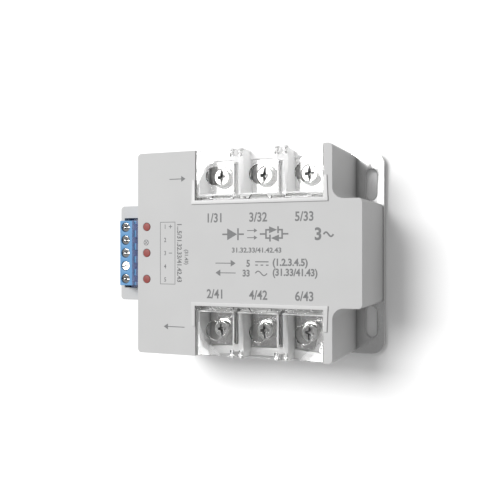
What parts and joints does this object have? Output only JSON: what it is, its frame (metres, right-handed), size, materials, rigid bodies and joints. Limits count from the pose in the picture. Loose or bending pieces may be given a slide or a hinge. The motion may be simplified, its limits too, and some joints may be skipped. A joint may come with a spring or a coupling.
{
  "type": "solid state relay",
  "caption": "Panel-mounting solid state relay with two banks of power screw terminals under hinged clear covers, a control terminal block and indicator lamps.",
  "frame": {"origin": "centre of the base plate's underside", "axes": "+Z out of the front face, +X from the control terminals towards the far wing, +Y towards the input terminals"},
  "size_m": [0.105, 0.079, 0.038],
  "materials": {
    "plate_metal": "fine satin, lightly ground",
    "housing_plastic": "fine spark-eroded texture",
    "clear_cover": "clear polycarbonate, polished",
    "plated_bar": "nickel plated, satin",
    "washer_steel": "zinc plated",
    "screw_steel": "zinc plated, bright",
    "fastener_steel": "zinc plated",
    "blue_plastic": "semi-gloss",
    "control_screw_steel": "nickel plated",
    "clamp_brass": "tinned brass",
    "tinned_metal": "tinned",
    "board_laminate": "solder mask",
    "red_lens": "diffused, unlit",
    "spacer_nylon": "natural nylon",
    "chip_package": "moulded",
    "resistor_body": "lacquered",
    "capacitor_case": "box film capacitor",
    "varistor_coating": "epoxy dipped",
    "substrate_ceramic": "alumina",
    "bare_copper": "bare copper",
    "die_silicon": "passivated silicon",
    "potting_resin": "cast epoxy"
  },
  "bodies": {
    "root": {"base_plate": "plate_metal", "housing": "housing_plastic", "input_bar_1": "plated_bar", "input_bar_2": "plated_bar", "input_bar_3": "plated_bar", "output_bar_1": "plated_bar", "output_bar_2": "plated_bar", "output_bar_3": "plated_bar", "terminal_nuts": "fastener_steel", "board_screws": "fastener_steel", "housing_screws": "fastener_steel", "control_block": "blue_plastic", "control_contacts": "tinned_metal", "led_leads": "tinned_metal", "gate_posts": "tinned_metal", "control_board": "board_laminate", "led_1": "red_lens", "led_2": "red_lens", "led_3": "red_lens", "led_spacers": "spacer_nylon", "gate_driver_1": "chip_package", "gate_driver_2": "chip_package", "gate_driver_3": "chip_package", "resistors": "resistor_body", "snubber_capacitors": "capacitor_case", "varistors": "varistor_coating", "substrate_1": "substrate_ceramic", "substrate_2": "substrate_ceramic", "substrate_3": "substrate_ceramic", "copper_pads": "bare_copper", "die_clips": "bare_copper", "thyristor_dies": "die_silicon", "potting": "potting_resin"},
    "input_cover": {"input_cover": "clear_cover"},
    "input_washer_1": {"input_washer_1": "washer_steel"},
    "input_screw_1": {"input_screw_1": "screw_steel"},
    "input_washer_2": {"input_washer_2": "washer_steel"},
    "input_screw_2": {"input_screw_2": "screw_steel"},
    "input_washer_3": {"input_washer_3": "washer_steel"},
    "input_screw_3": {"input_screw_3": "screw_steel"},
    "output_cover": {"output_cover": "clear_cover"},
    "output_washer_1": {"output_washer_1": "washer_steel"},
    "output_screw_1": {"output_screw_1": "screw_steel"},
    "output_washer_2": {"output_washer_2": "washer_steel"},
    "output_screw_2": {"output_screw_2": "screw_steel"},
    "output_washer_3": {"output_washer_3": "washer_steel"},
    "output_screw_3": {"output_screw_3": "screw_steel"},
    "control_screw_1": {"control_screw_1": "control_screw_steel"},
    "wire_clamp_1": {"wire_clamp_1": "clamp_brass"},
    "control_screw_2": {"control_screw_2": "control_screw_steel"},
    "wire_clamp_2": {"wire_clamp_2": "clamp_brass"},
    "control_screw_3": {"control_screw_3": "control_screw_steel"},
    "wire_clamp_3": {"wire_clamp_3": "clamp_brass"},
    "control_screw_4": {"control_screw_4": "control_screw_steel"},
    "wire_clamp_4": {"wire_clamp_4": "clamp_brass"},
    "control_screw_5": {"control_screw_5": "control_screw_steel"},
    "wire_clamp_5": {"wire_clamp_5": "clamp_brass"}
  },
  "joints": [
    {"name": "input_cover_hinge", "type": "hinge", "parent": "root", "child": "input_cover", "pos_m": [0.01285, 0.0377, 0.0365], "axis": [-1, 0, 0], "range_deg": [0, 120]},
    {"name": "input_washer_1_lift", "type": "slide", "parent": "root", "child": "input_washer_1", "axis": [0, 0, 1], "range_m": [0, 0.0035]},
    {"name": "input_screw_1_turn", "type": "hinge", "parent": "input_washer_1", "child": "input_screw_1", "pos_m": [-0.0044, 0.029, 0.0283], "axis": [0, 0, 1], "range_deg": [0, 1800]},
    {"name": "input_washer_2_lift", "type": "slide", "parent": "root", "child": "input_washer_2", "axis": [0, 0, 1], "range_m": [0, 0.0035]},
    {"name": "input_screw_2_turn", "type": "hinge", "parent": "input_washer_2", "child": "input_screw_2", "pos_m": [0.01315, 0.029, 0.0283], "axis": [0, 0, 1], "range_deg": [0, 1800]},
    {"name": "input_washer_3_lift", "type": "slide", "parent": "root", "child": "input_washer_3", "axis": [0, 0, 1], "range_m": [0, 0.0035]},
    {"name": "input_screw_3_turn", "type": "hinge", "parent": "input_washer_3", "child": "input_screw_3", "pos_m": [0.0307, 0.029, 0.0283], "axis": [0, 0, 1], "range_deg": [0, 1800]},
    {"name": "output_cover_hinge", "type": "hinge", "parent": "root", "child": "output_cover", "pos_m": [0.01285, -0.0377, 0.0365], "axis": [1, 0, 0], "range_deg": [0, 120]},
    {"name": "output_washer_1_lift", "type": "slide", "parent": "root", "child": "output_washer_1", "axis": [0, 0, 1], "range_m": [0, 0.0035]},
    {"name": "output_screw_1_turn", "type": "hinge", "parent": "output_washer_1", "child": "output_screw_1", "pos_m": [-0.0044, -0.029, 0.0283], "axis": [0, 0, 1], "range_deg": [0, 1800]},
    {"name": "output_washer_2_lift", "type": "slide", "parent": "root", "child": "output_washer_2", "axis": [0, 0, 1], "range_m": [0, 0.0035]},
    {"name": "output_screw_2_turn", "type": "hinge", "parent": "output_washer_2", "child": "output_screw_2", "pos_m": [0.01315, -0.029, 0.0283], "axis": [0, 0, 1], "range_deg": [0, 1800]},
    {"name": "output_washer_3_lift", "type": "slide", "parent": "root", "child": "output_washer_3", "axis": [0, 0, 1], "range_m": [0, 0.0035]},
    {"name": "output_screw_3_turn", "type": "hinge", "parent": "output_washer_3", "child": "output_screw_3", "pos_m": [0.0307, -0.029, 0.0283], "axis": [0, 0, 1], "range_deg": [0, 1800]},
    {"name": "control_screw_1_turn", "type": "hinge", "parent": "root", "child": "control_screw_1", "pos_m": [-0.04315, 0.01016, 0.0343], "axis": [0, 0, 1], "range_deg": [-1080, 0]},
    {"name": "wire_clamp_1_lift", "type": "slide", "parent": "root", "child": "wire_clamp_1", "axis": [0, 0, 1], "range_m": [0, 0.0015]},
    {"name": "control_screw_2_turn", "type": "hinge", "parent": "root", "child": "control_screw_2", "pos_m": [-0.04315, 0.00508, 0.0343], "axis": [0, 0, 1], "range_deg": [-1080, 0]},
    {"name": "wire_clamp_2_lift", "type": "slide", "parent": "root", "child": "wire_clamp_2", "axis": [0, 0, 1], "range_m": [0, 0.0015]},
    {"name": "control_screw_3_turn", "type": "hinge", "parent": "root", "child": "control_screw_3", "pos_m": [-0.04315, 0, 0.0343], "axis": [0, 0, 1], "range_deg": [-1080, 0]},
    {"name": "wire_clamp_3_lift", "type": "slide", "parent": "root", "child": "wire_clamp_3", "axis": [0, 0, 1], "range_m": [0, 0.0015]},
    {"name": "control_screw_4_turn", "type": "hinge", "parent": "root", "child": "control_screw_4", "pos_m": [-0.04315, -0.00508, 0.0343], "axis": [0, 0, 1], "range_deg": [-1080, 0]},
    {"name": "wire_clamp_4_lift", "type": "slide", "parent": "root", "child": "wire_clamp_4", "axis": [0, 0, 1], "range_m": [0, 0.0015]},
    {"name": "control_screw_5_turn", "type": "hinge", "parent": "root", "child": "control_screw_5", "pos_m": [-0.04315, -0.01016, 0.0343], "axis": [0, 0, 1], "range_deg": [-1080, 0]},
    {"name": "wire_clamp_5_lift", "type": "slide", "parent": "root", "child": "wire_clamp_5", "axis": [0, 0, 1], "range_m": [0, 0.0015]}
  ],
  "couplings": [
    {"joint": "input_screw_1_turn", "follows": "input_washer_1_lift", "rad_per_m": 8975},
    {"joint": "input_screw_2_turn", "follows": "input_washer_2_lift", "rad_per_m": 8975},
    {"joint": "input_screw_3_turn", "follows": "input_washer_3_lift", "rad_per_m": 8975},
    {"joint": "output_screw_1_turn", "follows": "output_washer_1_lift", "rad_per_m": 8975},
    {"joint": "output_screw_2_turn", "follows": "output_washer_2_lift", "rad_per_m": 8975},
    {"joint": "output_screw_3_turn", "follows": "output_washer_3_lift", "rad_per_m": 8975},
    {"joint": "control_screw_1_turn", "follows": "wire_clamp_1_lift", "rad_per_m": -12566},
    {"joint": "control_screw_2_turn", "follows": "wire_clamp_2_lift", "rad_per_m": -12566},
    {"joint": "control_screw_3_turn", "follows": "wire_clamp_3_lift", "rad_per_m": -12566},
    {"joint": "control_screw_4_turn", "follows": "wire_clamp_4_lift", "rad_per_m": -12566},
    {"joint": "control_screw_5_turn", "follows": "wire_clamp_5_lift", "rad_per_m": -12566}
  ]
}
